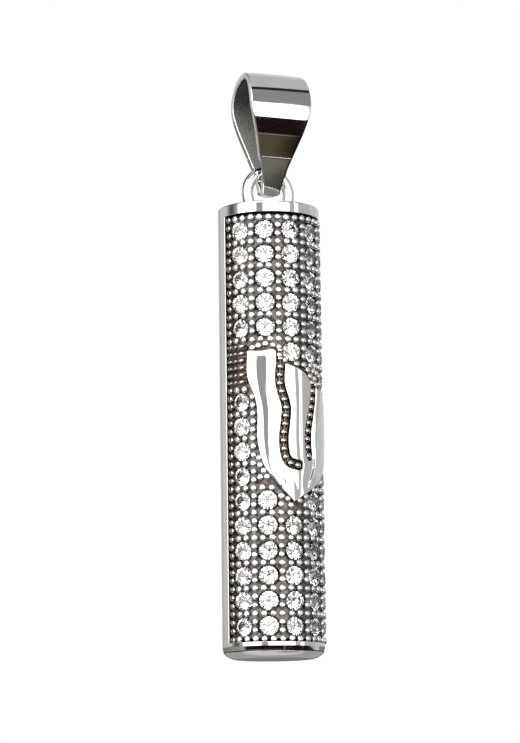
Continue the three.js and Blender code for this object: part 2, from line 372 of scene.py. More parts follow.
def finish(name, metallic, tone, light, dark, wear, low, high, relief=None, depth=0.0):
    """A material whose colour, roughness and relief each follow a noise, given as its settings."""
    material, tree, shader = new_material(name, metallic)
    feed(shader, {
        "Base Color": blended(tree, ranged(tree, noise(tree, **tone), 0, 1), light, dark),
        "Roughness": ranged(tree, noise(tree, **wear), low, high),
    })
    if relief:
        raise_relief(tree, shader, noise(tree, **relief), depth)
    return material


def polished_silver():
    """Rhodium-plated silver: a mirror with faint smears, hairline wear and a slightly wavy surface."""
    smears = dict(scale=0.8, detail=6.0)
    hairlines = dict(scale=5.0, detail=3.0, stretch=(1, 1, 0.15))
    return finish("polished_silver", 1.0, smears, (0.93, 0.925, 0.915), (0.86, 0.855, 0.845),
                  smears, 0.03, 0.11, hairlines, 0.0006)


def satin_silver():
    """The beads: the same plating, left satin where a polishing wheel only brushes over them."""
    wear = dict(scale=3.0, detail=4.0)
    return finish("satin_silver", 1.0, wear, (0.95, 0.945, 0.935), (0.84, 0.825, 0.805),
                  wear, 0.26, 0.36, wear, 0.004)


def toned_and_shaded_silver():
    """Silver with a brownish tone, its base colour darkened as painted shade for the beads down in the slots,
    on the ribs and by the tube's wall.
    """
    tone = dict(scale=4.0, detail=3.0)
    return finish("toned_and_shaded_silver", 1.0, tone, (0.50, 0.43, 0.385), (0.68, 0.62, 0.575), tone, 0.06, 0.12)


def inner_silver():
    """Inside of the bail: rolled stock that was never buffed, dull, its base colour darkened towards the top
    as painted shade deep in the fold.
    """
    material, tree, shader = new_material("inner_silver", metallic=0.6)
    lines = noise(tree, 7.0, detail=3.0, stretch=(2.5, 1, 0.2))
    place = node(tree, "ShaderNodeTexCoord").outputs["Object"]
    height = node(tree, "ShaderNodeSeparateXYZ", {"Vector": place}).outputs["Z"]
    streaks = ranged(tree, lines, -0.05, 0.05)
    # painted shade: the base colour runs from light low in the fold to dark at its top
    painted_shade_height = ranged(tree, height, 0.95, 0.05, -3.6 * MM, -1.2 * MM)
    share = calculated(tree, "ADD", painted_shade_height, streaks, use_clamp=True)
    feed(shader, {
        "Base Color": blended(tree, share, (0.07, 0.065, 0.058), (0.52, 0.51, 0.475)),
        "Roughness": ranged(tree, lines, 0.2, 0.34),
    })
    raise_relief(tree, shader, lines, 0.004)
    return material


def recess_shade_silver():
    """The recessed ground of the pavé: dull cast silver, its dark brown colour painted shade of the recess,
    in patches that vary at random.
    """
    patches, grains = dict(scale=2.2, detail=5.0), dict(scale=14.0, detail=3.0)
    return finish("recess_shade_silver", 1.0, patches, (0.048, 0.037, 0.031), (0.23, 0.207, 0.19),
                  grains, 0.22, 0.5, grains, 0.02)


def shade_black_silver():
    """Near black, painted shade for the plate's groove, the emblem's walls and inside the tube."""
    grain = dict(scale=6.0, detail=3.0)
    return finish("shade_black_silver", 0.6, grain, (0.012, 0.01, 0.009), (0.035, 0.03, 0.027), grain, 0.5, 0.7)


def clear_stone():
    """Cubic zirconia, clear, with a trace of dust on its facets."""
    material, tree, shader = new_material("clear_stone")
    dust = noise(tree, 6.0, detail=4.0)
    feed(shader, {
        "Base Color": (0.985, 0.988, 0.99, 1), "Transmission Weight": 1.0, "IOR": 2.15,
        "Roughness": ranged(tree, dust, 0.0, 0.03, 0.5, 0.8),
    })
    return material


def parchment():
    """Prepared skin: warm cream, mottled, with a fine uneven grain."""
    mottle, grain = dict(scale=0.5, detail=6.0, roughness=0.65), dict(scale=9.0, detail=5.0)
    return finish("parchment", 0.0, mottle, (0.80, 0.68, 0.46), (0.62, 0.49, 0.30),
                  grain, 0.6, 0.85, grain, 0.03)


def linen_thread():
    """Undyed linen thread, evenly dull."""
    fibre = dict(scale=12.0, detail=4.0, stretch=(1, 1, 3))
    return finish("linen_thread", 0.0, fibre, (0.72, 0.63, 0.47), (0.5, 0.42, 0.3),
                  fibre, 0.9, 0.9, fibre, 0.02)


SILVER = polished_silver()
SATIN = satin_silver()
TONED_AND_SHADED = toned_and_shaded_silver()
INNER = inner_silver()
RECESS_SHADE = recess_shade_silver()
SHADE_BLACK = shade_black_silver()
STONE = clear_stone()
PARCHMENT = parchment()
THREAD = linen_thread()


# ---- Tube and caps ----

def case_tube():
    """The polished tube: a curved sheet with the window left out, thickened inwards, its edges eased."""
    front = np.linspace(-WINDOW_HALF_ANGLE, WINDOW_HALF_ANGLE, 97)
    back = np.linspace(WINDOW_HALF_ANGLE, 360 - WINDOW_HALF_ANGLE, 105)[1:-1]
    angles = np.concatenate([front, back])
    taper_end = BAND_LEVEL + TAPER_LENGTH
    levels = [BAND_LEVEL, taper_end, taper_end + 0.02, -WINDOW_LENGTH, 0, RIM_LEVEL]
    radii = [CASE_RADIUS - END_TAPER] + [CASE_RADIUS] * (len(levels) - 1)
    verts = np.vstack([on_tube(radius, angles, level) for level, radius in zip(levels, radii)])
    faces = grid_faces(len(levels), len(angles))
    first = levels.index(-WINDOW_LENGTH) * len(angles)
    window = range(first, first + len(front) - 1)
    mesh = mesh_of(verts, [f for i, f in enumerate(faces) if i not in window])
    mesh = with_modifiers(mesh, [
        ("SOLIDIFY", {"thickness": CASE_RADIUS - BORE_RADIUS, "offset": -1, "use_even_offset": True}),
        ("BEVEL", {"width": 0.05, "segments": 3, "limit_method": "ANGLE", "angle_limit": math.radians(40)}),
    ])

    def gets_shade_black(centre, normal):
        """The window's walls, the bore and the tube's ends: whatever is below the eased edges, painted near
        black as shade.
        """
        reach = math.hypot(centre.x, centre.y)
        return reach < CASE_RADIUS - 0.05 and normal.x * centre.x + normal.y * centre.y < 0.7 * reach

    piece("polished_tube", weighted(mesh), "case", SILVER, ["case_tube"],
          SHADE_BLACK, gets_shade_black)


def top_cap():
    """A disc let into the tube and soldered flush, so that only a hairline shows round its edge."""
    seat, skirt = BORE_RADIUS - 0.04, RIM_LEVEL - 0.1
    bottom = RIM_LEVEL - 0.56
    side = CASE_RADIUS + 0.004
    edge = rounded([[side, skirt], [side, CAP_LEVEL], [0.1, CAP_LEVEL]], 0.14, steps=8)
    profile = [[0, bottom], [seat, bottom], [seat, RIM_LEVEL], [CASE_RADIUS - 0.06, RIM_LEVEL],
               *edge[:-1].tolist(), [1.5, CAP_LEVEL + 0.004], [0, CAP_LEVEL + 0.01]]
    mesh = turned(profile)
    piece("soldered_cap", weighted(mesh), "case", SILVER, ["top_cap"])


def bottom_plug():
    """The push-fit end: a flat face with a broad bevelled edge, and a turned spigot with a grip groove."""
    seam = BAND_LEVEL - 0.035
    spigot = BORE_RADIUS - 0.04
    end = plug_high.z - WINDOW_TOP
    reach = CASE_RADIUS - END_TAPER
    bevel = 1.25
    turn = np.radians(np.linspace(90, 44, 16))
    middle = reach - 0.05 - bevel * math.cos(turn[-1])
    outer = np.stack([middle + bevel * np.cos(turn), PLUG_LEVEL + bevel - bevel * np.sin(turn)], -1)
    shoulder = [outer[-1], [reach, seam - 0.03], [reach - 0.005, seam], [spigot, seam]]
    shoulder = rounded(shoulder, 0.02, steps=3)[1:]
    groove_floor = spigot - 0.12
    groove = rounded([[spigot, seam + 0.9], [groove_floor, seam + 1.0], [groove_floor, seam + 1.2],
                      [spigot, seam + 1.3]], 0.06, steps=3)
    lead = rounded([[spigot, end - 0.4], [spigot, end - 0.2], [spigot - 0.25, end], [1.2, end]], 0.1, steps=4)
    profile = [[0, PLUG_LEVEL - 0.006], [1.2, PLUG_LEVEL - 0.004], *outer.tolist(), *shoulder.tolist(),
               *groove.tolist(), *lead.tolist(), [0, end]]
    mesh = turned(profile)
    piece("end_plug", weighted(mesh), "plug", SILVER, ["bottom_plug"])


# ---- Pavé plate, beads and stones ----

def row_level(row):
    """The level of a row of stones."""
    return FIRST_ROW_LEVEL - (row - 1) * ROW_PITCH


def stone_places():
    """(column letter, row) of every stone: a full grid but for the places under the emblem."""
    return [(column, row) for column in STONE_COLUMNS for row in range(1, STONE_ROWS + 1)
            if row not in ROWS_LEFT_OUT[column]]


def in_ribs(angle, level):
    """The two places beside the emblem's upper corner that carry plain ribs instead of stones."""
    top, bottom = row_level(6) + ROW_PITCH / 2 - 0.25, row_level(7) - ROW_PITCH / 2 + 0.25
    return (angle > RIBS_LEFT) & (angle < RIBS_RIGHT) & (level < top) & (level > bottom)


def pave_plate():
    """The pierced plate: a ground painted dark as shade, with a collar and conical seat for each stone."""
    angles = np.linspace(-PLATE_HALF_ANGLE, PLATE_HALF_ANGLE, 172)
    levels = np.linspace(0.01 - WINDOW_LENGTH, -0.01, 486)
    angle, level = np.meshgrid(angles, levels)
    phase = 2 * math.pi * (level + 0.37) / ROW_PITCH  # the ground rises a little in each row
    radius = PLATE_FLOOR + 0.02 * np.cos(phase)
    collar, seat_edge, blend = STONE_RADIUS + 0.09, STONE_RADIUS + 0.02, 0.07
    for column, row in stone_places():
        across = GIRDLE_RADIUS * np.radians(angle - STONE_COLUMNS[column])
        away = np.hypot(across, level - row_level(row))
        rim = np.clip((collar + blend - away) / blend, 0, 1)
        radius = np.where(away < collar + blend, np.maximum(radius, PLATE_FLOOR + 0.10 * rim), radius)
        seat = PLATE_FLOOR + 0.03 - (seat_edge - away) * 0.8
        radius = np.where(away < seat_edge, np.minimum(radius, seat), radius)
    ribs = 0.13 * (0.5 + 0.5 * np.cos(3 * phase))
    radius = np.where(in_ribs(angle, level), PLATE_FLOOR + 0.02 + ribs, radius)
    to_side = CASE_RADIUS * np.radians(PLATE_HALF_ANGLE - abs(angle))
    to_edge = np.minimum(np.minimum(-level, level + WINDOW_LENGTH), to_side)
    wall = np.clip(to_edge / GROOVE * 4 - 3, 0, 1)
    radius = np.where(to_edge < GROOVE, GROOVE_FLOOR + (radius - GROOVE_FLOOR) * wall, radius)
    rows, columns = angle.shape
    sheets = [on_tube(r, angle, level).reshape(-1, 3) for r in (radius, PLATE_INNER)]
    faces = sheet_faces(grid_faces(rows, columns, closed=False), rows * columns)
    mesh = smoothed(mesh_of(np.concatenate(sheets), faces), 60)

    # the groove round the plate is painted near black as shade
    def is_groove(centre, normal):
        return math.hypot(centre.x, centre.y) < PLATE_FLOOR - 0.06

    piece("pave_ground", mesh, "case", RECESS_SHADE, ["pave_plate"], SHADE_BLACK, is_groove)


def bead_grid():
    """(angle, level) of the beads in even rows and columns between the stones."""
    step = ROW_PITCH / BEADS_PER_PITCH
    first = FIRST_ROW_LEVEL + ROW_PITCH / 2
    columns = [COLUMN_STEP * (k - 2.5) for k in range(len(STONE_COLUMNS) + 1)]
    places = [(angle, first - step * j) for angle in columns for j in range(STONE_ROWS * BEADS_PER_PITCH + 1)]
    for k in range(STONE_ROWS + 1):
        for j in range(len(STONE_COLUMNS) * BEADS_PER_PITCH):
            if j % BEADS_PER_PITCH:
                places.append((columns[0] + COLUMN_STEP * j / BEADS_PER_PITCH, first - ROW_PITCH * k))
    return places


def spread_out(angle, level):
    """A place on the plate as flat x and y."""
    return np.array([GIRDLE_RADIUS * math.radians(angle), level])


def edge_beads(taken):
    """Beads that fill the odd spaces left between the emblem, the stones and the even rows."""
    stones = np.array([spread_out(STONE_COLUMNS[c], row_level(r)) for c, r in stone_places()])
    beads = [spread_out(*place) for place in taken]
    found = []
    for level in np.arange(-9.2, -20.6, -0.1):
        for angle in np.arange(-52, 75, 1.0):
            spot = spread_out(angle, level)
            if np.min(np.linalg.norm(stones - spot, axis=1)) < STONE_RADIUS + 0.72 * BEAD_RADIUS:
                continue
            if np.min(np.linalg.norm(np.array(beads) - spot, axis=1)) < 2.05 * BEAD_RADIUS:
                continue
            if outside_emblem(angle, level) < 0.16:
                continue
            beads.append(spot)
            found.append((angle, level))
    return found


def bead_prongs():
    """The raised beads: uneven from hand polishing, and some rubbed down or pushed over a stone's edge."""
    random.seed(11)
    places = [p for p in bead_grid() if outside_emblem(*p) > 0.1 and not in_ribs(*p)]
    places += edge_beads(places)
    verts, faces = ball(1.0)
    across = np.hypot(verts[:, 0], verts[:, 1])
    verts = verts / ((across**3 + abs(verts[:, 2]) ** 3) ** (1 / 3))[:, None]
    verts[:, 2] *= np.where(verts[:, 2] > 0, 0.62, 1.0)
    parts = []
    for angle, level in places:
        size = BEAD_RADIUS * random.uniform(0.93, 1.07)
        shape = verts * [size * random.uniform(0.95, 1.05), size * random.uniform(0.95, 1.05), size]
        centre = on_tube(BEAD_CENTRE + random.uniform(-0.02, 0.02), angle + random.uniform(-0.35, 0.35),
                         level + random.uniform(-0.02, 0.02))
        parts.append((shape @ axes_at(angle).T + centre, faces))
    for level in np.arange(row_level(6) + 0.45, row_level(7) - 0.5, -ROW_PITCH / BEADS_PER_PITCH / 1.15):
        for angle, length in ((-79.5, 1.1), (-71.5, 1.25), (-62.5, 1.6)):
            shape = verts * [BEAD_RADIUS * length * random.uniform(0.9, 1.1), 0.13, 0.17]
            parts.append((shape @ axes_at(angle).T + on_tube(BEAD_CENTRE - 0.05, angle, level), faces))

    # beads by the tube's wall and on the ribs get the darker material: painted shade
    def takes_painted_shade(centre, normal):
        angle = math.degrees(math.atan2(centre.x, -centre.y))
        return bool(angle < SHADED_LEFT or in_ribs(angle, centre.z - WINDOW_TOP))

    piece("bead_prongs", gathered(parts), "case", SATIN, (), TONED_AND_SHADED, takes_painted_shade)


def brilliant():
    """A round brilliant cut about +Z: table, stars, kites and girdle above, mains and halves below."""
    def ring(radius, height, turn, count=8):
        angles = [2 * math.pi * (k + turn) / count for k in range(count)]
        return [(radius * math.cos(a), radius * math.sin(a), height) for a in angles]

    girdle, half = STONE_RADIUS, 0.02
    table = ring(0.56 * girdle, 0.2, 0.5)
    stars = ring(0.78 * girdle, 0.125, 0)
    upper = ring(girdle, half, 0, 16)
    lower = ring(girdle, -half, 0, 16)
    halves = ring(0.36 * girdle, -0.37, 0.5)
    verts = table + stars + upper + lower + halves + [(0, 0, -0.52)]
    t, s, u, w, h, tip = 0, 8, 16, 32, 48, 56  # where each ring starts, and the point below
    faces = [tuple(range(8))]
    for k in range(8):
        n, before = (k + 1) % 8, (k - 1) % 8
        faces += [
            (t + before, s + k, t + k),
            (t + k, s + k, u + (2 * k + 1) % 16, s + n),
            (s + k, u + 2 * k, u + 2 * k + 1),
            (s + k, u + (2 * k - 1) % 16, u + 2 * k),
            (h + k, w + (2 * k + 1) % 16, w + 2 * k),
            (h + k, w + (2 * k + 2) % 16, w + 2 * k + 1),
            (tip, h + k, w + (2 * k + 2) % 16, h + n),
        ]
    faces += [(u + j, w + j, w + (j + 1) % 16, u + (j + 1) % 16) for j in range(16)]
    return verts, faces


def stones():
    """Every stone is the same cut, set with a little tilt and turn of its own."""
    random.seed(5)
    verts, faces = brilliant()
    for column, row in stone_places():
        angle = STONE_COLUMNS[column]
        tilt = Matrix.Identity(3)
        for axis in ("X", "Y"):
            tilt = Matrix.Rotation(math.radians(random.uniform(-STONE_TILT, STONE_TILT)), 3, axis) @ tilt
        spin = Matrix.Rotation(random.uniform(0, math.pi / 4), 3, "Z")
        turned_by = axes_at(angle) @ np.array(tilt @ spin)
        seat = on_tube(GIRDLE_RADIUS, angle, row_level(row))
        mesh = mesh_of(STONE_OVERSIZE * np.array(verts) @ turned_by.T + seat, faces)
        cad = f"stone_{column}{row:02d}"
        piece(f"cut_{cad}", mesh, "case", STONE, [cad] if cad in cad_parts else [])


# ---- Emblem: outlines are seen from the front, x across and level down ----

LEFT_SIDE = smooth_curve([(-2.86, -9.62), (-2.87, -11.4), (-2.5, -12.9), (-2.38, -14.0), (-2.38, -15.9),
                          (-2.02, -17.57), (-1.23, -18.8), (-0.06, -20.0)])
RIGHT_SIDE = smooth_curve([(-0.06, -20.0), (1.32, -19.15), (2.2, -18.4), (2.75, -17.4), (2.95, -15.5),
                           (2.9, -13.6), (2.7, -12.6)])
TOP_RIGHT = smooth_curve([(2.7, -12.6), (2.0, -12.0), (1.45, -11.7), (0.85, -11.1), (0.2, -10.8),
                          (-0.3, -10.62), (-1.0, -10.5)])
TOP_LEFT = smooth_curve([(-1.0, -10.5), (-1.3, -9.62), (-2.1, -9.68), (-2.86, -9.62)], steps=8)
SLOT_LINES = {
    "left": smooth_curve([(-0.92, -9.3), (-0.9, -10.4), (-0.98, -11.7), (-0.84, -12.5), (-0.56, -13.5),
                          (-0.62, -14.5), (-0.76, -15.7), (-0.66, -16.8), (-0.36, -17.32), (0.3, -17.5)]),
    "right": smooth_curve([(1.72, -11.3), (1.68, -12.6), (1.45, -13.8), (1.18, -15.0), (1.13, -16.0),
                           (1.22, -16.8)]),
}


def unrolled(line):
    """A line drawn from the front, laid flat along the tube's surface."""
    across = np.arcsin(np.clip(line[:, 0] / EMBLEM_EDGE, -1, 1)) * EMBLEM_EDGE
    return np.stack([across, line[:, 1]], -1)


# Crest of each tongue, left, middle and right: angle round the tube and level
CRESTS = [
    [(-34.9, -9.3), (-34.9, -10.5), (-34.5, -12.1), (-32.4, -13.1), (-30.8, -14.0), (-30.5, -15), (-30, -16),
     (-28.2, -16.9), (-24.4, -17.9), (-17.5, -18.8)],
    [(3.2, -10.5), (4.0, -11.2), (6.0, -12.4), (4.4, -14.4), (4.1, -15.8), (6.3, -16.8), (9.0, -17.5),
     (5.6, -18.5), (2.3, -19.6), (0.5, -20.1)],
    [(40, -11.4), (38, -12.8), (34.5, -13.8), (30, -15), (29.5, -16), (30, -16.9), (26, -17.8), (18, -18.6)],
]
CREST_HEIGHTS = [0.1, 0.075, 0.14]
CREST_SOFTNESS = [0.05, 0.3, 0.05]
# Below each slot a shallow valley runs on to the tip
VALLEYS = [
    smooth_curve([(-1.0, -9.3), (-1.1, -11.7), (-0.7, -13.5), (-0.89, -15.7), (-0.74, -16.8), (-0.5, -17.8),
                  (-0.2, -19.0), (-0.06, -20.0)]),
    smooth_curve([(1.72, -11.3), (1.68, -12.6), (1.18, -15.0), (1.13, -16.0), (1.22, -16.8), (1.1, -17.8),
                  (0.6, -19.0), (-0.06, -20.0)]),
]
# Half width of the flat along the left tongue's crest, by level
CREST_FLAT = [(-18, 0.1), (-16.6, 0.13), (-15, 0.16), (-13.4, 0.2), (-12.1, 0.28), (-11.3, 0.37),
              (-10.3, 0.37), (-9.8, 0.22)]

EMBLEM_TIP = -20.0
EDGES = [unrolled(line) for line in (LEFT_SIDE, RIGHT_SIDE, TOP_RIGHT, TOP_LEFT)]
OUTLINE = np.concatenate([line[:-1] for line in EDGES])
SLOTS = {side: unrolled(line) for side, line in SLOT_LINES.items()}


def distances(points, line):
    """Distance of each point to a line of straight steps."""
    a, b = line[:-1][None], line[1:][None]
    p = points[:, None]
    share = np.clip(((p - a) * (b - a)).sum(-1) / ((b - a) ** 2).sum(-1), 0, 1)
    return np.linalg.norm(p - (a + share[..., None] * (b - a)), axis=-1).min(1)


def inside(points, outline):
    """Whether each point lies inside a closed outline."""
    x, y = points[:, 0][:, None], points[:, 1][:, None]
    (x0, y0), (x1, y1) = outline.T, np.roll(outline, -1, 0).T
    crosses = (y0 > y) != (y1 > y)
    at = x0 + (y - y0) * (x1 - x0) / np.where(y1 == y0, 1e-9, y1 - y0)
    return (crosses & (x < at)).sum(1) % 2 == 1


def outside_emblem(angle, level):
    """How far a place on the plate is from the emblem's metal; nothing inside it."""
    spot = np.array([[EMBLEM_EDGE * math.radians(angle), level]])
    if inside(spot, OUTLINE)[0]:
        return 0.0
    return float(distances(spot, np.vstack([OUTLINE, OUTLINE[:1]]))[0])


def roof_gaps(points):
    """Distances from each point to the outline's four edges and to the two slots' sides."""
    gaps = [distances(points, edge) for edge in EDGES]
    gaps += [distances(points, line) - SLOT_HALF_WIDTH for line in SLOTS.values()]
    return np.stack(gaps, -1)


def roof_radius(points):
    """The emblem's surface: each tongue rises from its edges to a crest. The left one's is flat on top."""
    gaps = np.maximum(roof_gaps(points), 0)
    left_side = gaps[:, 0]
    valleys = [np.maximum(distances(points, unrolled(line)) - SLOT_HALF_WIDTH, 0) for line in VALLEYS]
    rising_from = [np.minimum(left_side, valleys[0]), valleys[0], valleys[1]]
    rises, weights = [], []
    for k, (crest, height) in enumerate(zip(CRESTS, CREST_HEIGHTS)):
        line = smooth_curve(np.array(crest, float) * [math.radians(EMBLEM_EDGE), 1])
        away = distances(points, line)
        weights.append(np.exp(-8 * away))  # the nearest crest counts almost alone
        lift = 0.0
        if k == 0:
            flat = np.interp(points[:, 1], *np.array(CREST_FLAT).T)
            lift = np.minimum(away, flat) ** 2 / (2 * EMBLEM_EDGE)
            aside = points[:, 0] - np.interp(points[:, 1], line[::-1, 1], line[::-1, 0])
            below_shoulder = np.clip(LEFT_SHOULDER - points[:, 1], 0, 1)
            lift += LEFT_CREST_TILT * np.clip(aside, -flat, flat) * below_shoulder
            away = np.maximum(away - flat, 0)
        rises.append(height * rising_from[k] / (rising_from[k] + np.hypot(away, CREST_SOFTNESS[k])) + lift)
    rise = (np.array(rises) * weights).sum(0) / np.sum(weights, 0)
    rise *= np.clip((points[:, 1] - EMBLEM_TIP) / TIP_FADE, 0, 1)
    top_left = gaps[:, 3]
    rise *= 1 - 0.5 * np.exp(-(top_left / 0.25) ** 2)  # lower along the top left edge
    nearest = gaps.min(-1)
    bevel = 0.07
    ease = np.where(nearest < bevel, bevel - np.sqrt(np.maximum(bevel**2 - (bevel - nearest) ** 2, 0)), 0)
    return EMBLEM_EDGE + rise - ease


def sideways(line):
    """The direction across a flat line at each of its points."""
    along = np.gradient(line, axis=0)
    along /= np.linalg.norm(along, axis=1)[:, None]
    return np.stack([-along[:, 1], along[:, 0]], -1)


def slot_outline(line):
    """The closed outline of a slot, with a round end."""
    across = sideways(line) * SLOT_HALF_WIDTH
    heading = math.atan2(-across[-1][0], across[-1][1])
    turn = np.linspace(math.pi / 2, -math.pi / 2, 13)[1:-1] + heading
    end = line[-1] + SLOT_HALF_WIDTH * np.stack([np.cos(turn), np.sin(turn)], -1)
    return np.vstack([line + across, end, (line - across)[::-1]])


def even_steps(line, step):
    """Points at an even distance along a line."""
    lengths = np.concatenate([[0], np.cumsum(np.linalg.norm(np.diff(line, axis=0), axis=1))])
    marks = np.linspace(0, lengths[-1], max(2, round(lengths[-1] / step) + 1))
    return np.stack([np.interp(marks, lengths, line[:, k]) for k in range(line.shape[1])], -1)


def inside_metal(points, margin=0.0):
    """Whether points lie on the emblem's metal, at least the margin from any edge."""
    gaps = roof_gaps(points)
    return inside(points, OUTLINE) & (gaps.min(1) > margin) & (gaps[:, len(EDGES):].min(1) > 0)


def bevel_points(line):
    """Points on both sides of an edge, at small distances, so that its rounding is smooth."""
    across = sideways(line)
    found = []
    for gap in (0.008, 0.02, 0.036, 0.055, 0.08):
        both = np.vstack([line + across * gap, line - across * gap])
        found.append(both[inside_metal(both, 0.9 * gap)])
    return np.vstack(found)


def emblem():
    """The three-tongued flame, a thick curved plate with its slots cut through."""
    spacing = 0.07
    xs, ys = np.meshgrid(np.arange(-3.6, 4.3, spacing), np.arange(-20.1, -9.5, spacing * 0.87))
    xs = xs + (np.arange(ys.shape[0])[:, None] % 2) * spacing / 2
    lattice = np.stack([xs.ravel(), ys.ravel()], -1)
    points = [lattice[inside_metal(lattice, 0.11)]]  # nearer the edges bevel_points takes over
    borders, edges = [], []
    for ring in [OUTLINE] + [slot_outline(line) for line in SLOTS.values()]:
        line = even_steps(np.vstack([ring, ring[:1]]), 0.045)
        points.append(bevel_points(line))
        start = sum(len(b) for b in borders)
        borders.append(line[:-1])
        count = len(line) - 1
        edges += [(start + k, start + (k + 1) % count) for k in range(count)]
    flat = np.vstack(borders + points)
    out = geometry.delaunay_2d_cdt([Vector(p) for p in flat], edges, [], 0, 1e-5)
    flat = np.array([tuple(p) for p in out[0]])
    triangles = np.array(out[2])
    centres = flat[triangles].mean(1)
    triangles = triangles[inside_metal(centres)]
    used = np.unique(triangles)
    renamed = np.full(len(flat), -1)
    renamed[used] = np.arange(len(used))
    flat, triangles = flat[used], renamed[triangles]
    angle = np.degrees(flat[:, 0] / EMBLEM_EDGE)
    sheets = [on_tube(radius, angle, flat[:, 1]) for radius in (roof_radius(flat), EMBLEM_BASE)]
    faces = sheet_faces([tuple(t) for t in triangles.tolist()], len(flat))
    mesh = smoothed(mesh_of(np.vstack(sheets), faces), 50)

    def is_wall(centre, normal):
        return abs(normal.x * centre.x + normal.y * centre.y) < 0.3 * math.hypot(centre.x, centre.y)

    # the emblem's walls are painted near black as shade
    piece("flame_emblem", mesh, "case", SILVER, ["emblem"], SHADE_BLACK, is_wall)


def tube_along(centres, radius, around=10, closed=False):
    """Corners and faces of a round tube along a line."""
    centres = np.array(centres, float)
    along = np.gradient(centres, axis=0)
    if closed:
        along = np.roll(centres, -1, 0) - np.roll(centres, 1, 0)
    along /= np.linalg.norm(along, axis=1)[:, None]
    side = np.cross(along, [0.0, 0.0, 1.0])
    weak = np.linalg.norm(side, axis=1) < 0.2
    side[weak] = np.cross(along[weak], [1.0, 0.0, 0.0])
    side /= np.linalg.norm(side, axis=1)[:, None]
    for k in range(1, len(side)):
        carried = side[k - 1] - along[k] * (side[k - 1] @ along[k])
        side[k] = carried / np.linalg.norm(carried)
    up = np.cross(side, along)
    turns = np.linspace(0, 2 * math.pi, around, endpoint=False)
    verts = [c + radius * (math.cos(a) * s + math.sin(a) * u)
             for c, s, u in zip(centres, side, up) for a in turns]
    faces = grid_faces(len(centres), around, wrap_rows=closed)
    return verts, faces if closed else faces + end_faces(len(verts), around)


def bead_wires():
    """A beaded wire lies in each slot, its polished beads catching the light on top."""
    for side, line in SLOTS.items():
        spots = even_steps(line[4:], ROW_PITCH / BEADS_PER_PITCH)
        angle = np.degrees(spots[:, 0] / EMBLEM_EDGE)
        core = on_tube(BEAD_LINE_RADIUS - 0.1, angle, spots[:, 1])
        parts = [tube_along(smooth_curve(core, 4), 0.05)]
        verts, faces = ball(WIRE_BEAD_RADIUS)
        parts += [(verts + place, faces) for place in on_tube(BEAD_LINE_RADIUS, angle, spots[:, 1])]
        # the wires take the darker material: painted shade of the slot over a brownish tone
        piece(f"beaded_wire_{side}", gathered(parts), "case", TONED_AND_SHADED, [f"bead_wire_{side}"])


# ---- Loop and bail ----

def loop_ring():
    """The round wire, flared a little where solder joins it to the cap, and cut flat there."""
    floor = CAP_LEVEL + WINDOW_TOP
    rings, across = 192, 48
    verts = []
    for i in range(rings):
        turn = 2 * math.pi * i / rings
        for j in range(across):
            around = 2 * math.pi * j / across
            height = LOOP_Z + (LOOP_RADIUS + WIRE_RADIUS * math.cos(around)) * math.sin(turn) - floor
            wire = WIRE_RADIUS + 0.1 * max(0.0, min(1.0, 1 - height / 0.2)) ** 2
            reach = LOOP_RADIUS + wire * math.cos(around)
            verts.append((reach * math.cos(turn), wire * math.sin(around), LOOP_Z + reach * math.sin(turn)))
    mesh = mesh_of(verts, grid_faces(rings, across, wrap_rows=True))
    work = bmesh.new()
    work.from_mesh(mesh)
    everything = work.verts[:] + work.edges[:] + work.faces[:]
    bmesh.ops.bisect_plane(work, geom=everything, dist=1e-5, plane_co=(0, 0, floor), plane_no=(0, 0, -1),
                           clear_outer=True)
    bmesh.ops.holes_fill(work, edges=[e for e in work.edges if e.is_boundary], sides=0)
    work.to_mesh(mesh)
    work.free()
    piece("wire_loop", weighted(mesh), "case", SILVER, ["loop_ring"])


# Slope of the strap's legs, in degrees from its own upright, at heights from the pivot
LEG_SLOPES = [(3.95, 0), (3.72, 5), (3.62, 7.5), (3.52, 11), (2.5, 14.8), (2.36, 20.3), (1.5, 21.6),
              (0.95, 20.3), (0.915, 6), (0.895, 6), (0.86, 17), (-1.2, 16.2), (-1.75, 15.8)]
# Half width of the strap, at heights from the pivot
STRAP_WIDTHS = [(-1.3, 0.68), (-0.6, 0.82), (0.2, 1.0), (1.0, 1.27), (1.9, 1.55), (2.8, 1.83), (3.7, 2.08),
                (4.6, 2.24), (6, 2.25)]


def strap_line():
    """[half depth, height, slope] along the outside of the strap's front, from its tip to the top."""
    heights = np.linspace(BAIL_CROWN, BAIL_TIP, 286)
    known = np.array(LEG_SLOPES)[::-1]
    slopes = np.radians(np.interp(heights, known[:, 0], known[:, 1]))
    slopes = np.convolve(np.pad(slopes, 1, mode="edge"), np.ones(3) / 3, mode="valid")
    steps = np.tan(slopes[:-1]) * (heights[0] - heights[1])
    depths = BAIL_HALF_DEPTH - np.concatenate([[0], np.cumsum(steps)])
    leg = np.stack([depths, heights, -slopes], -1)[::-1]
    turn = np.linspace(0, math.pi / 2, 41)[1:]
    top = BAIL_TOP - BAIL_CROWN
    facing = np.arctan2(np.sin(turn) / top, np.cos(turn) / BAIL_HALF_DEPTH)
    arc = np.stack([BAIL_HALF_DEPTH * np.cos(turn), BAIL_CROWN + top * np.sin(turn), facing], -1)
    return np.vstack([leg, arc])


def strap_half_width(height, slope):
    """Half the strap's width at a height: it tapers to a round tongue, and narrows a little over the top."""
    known = smooth_curve(STRAP_WIDTHS)
    width = float(np.interp(height, known[:, 0], known[:, 1]))
    tongue_end = -1.5
    if height < tongue_end:
        share = (tongue_end - height) / (tongue_end - BAIL_TIP)
        width *= math.sqrt(max(0.0, 1 - 0.97 * share**2.4))
    return width - 0.16 * max(0.0, math.sin(slope)) ** 3


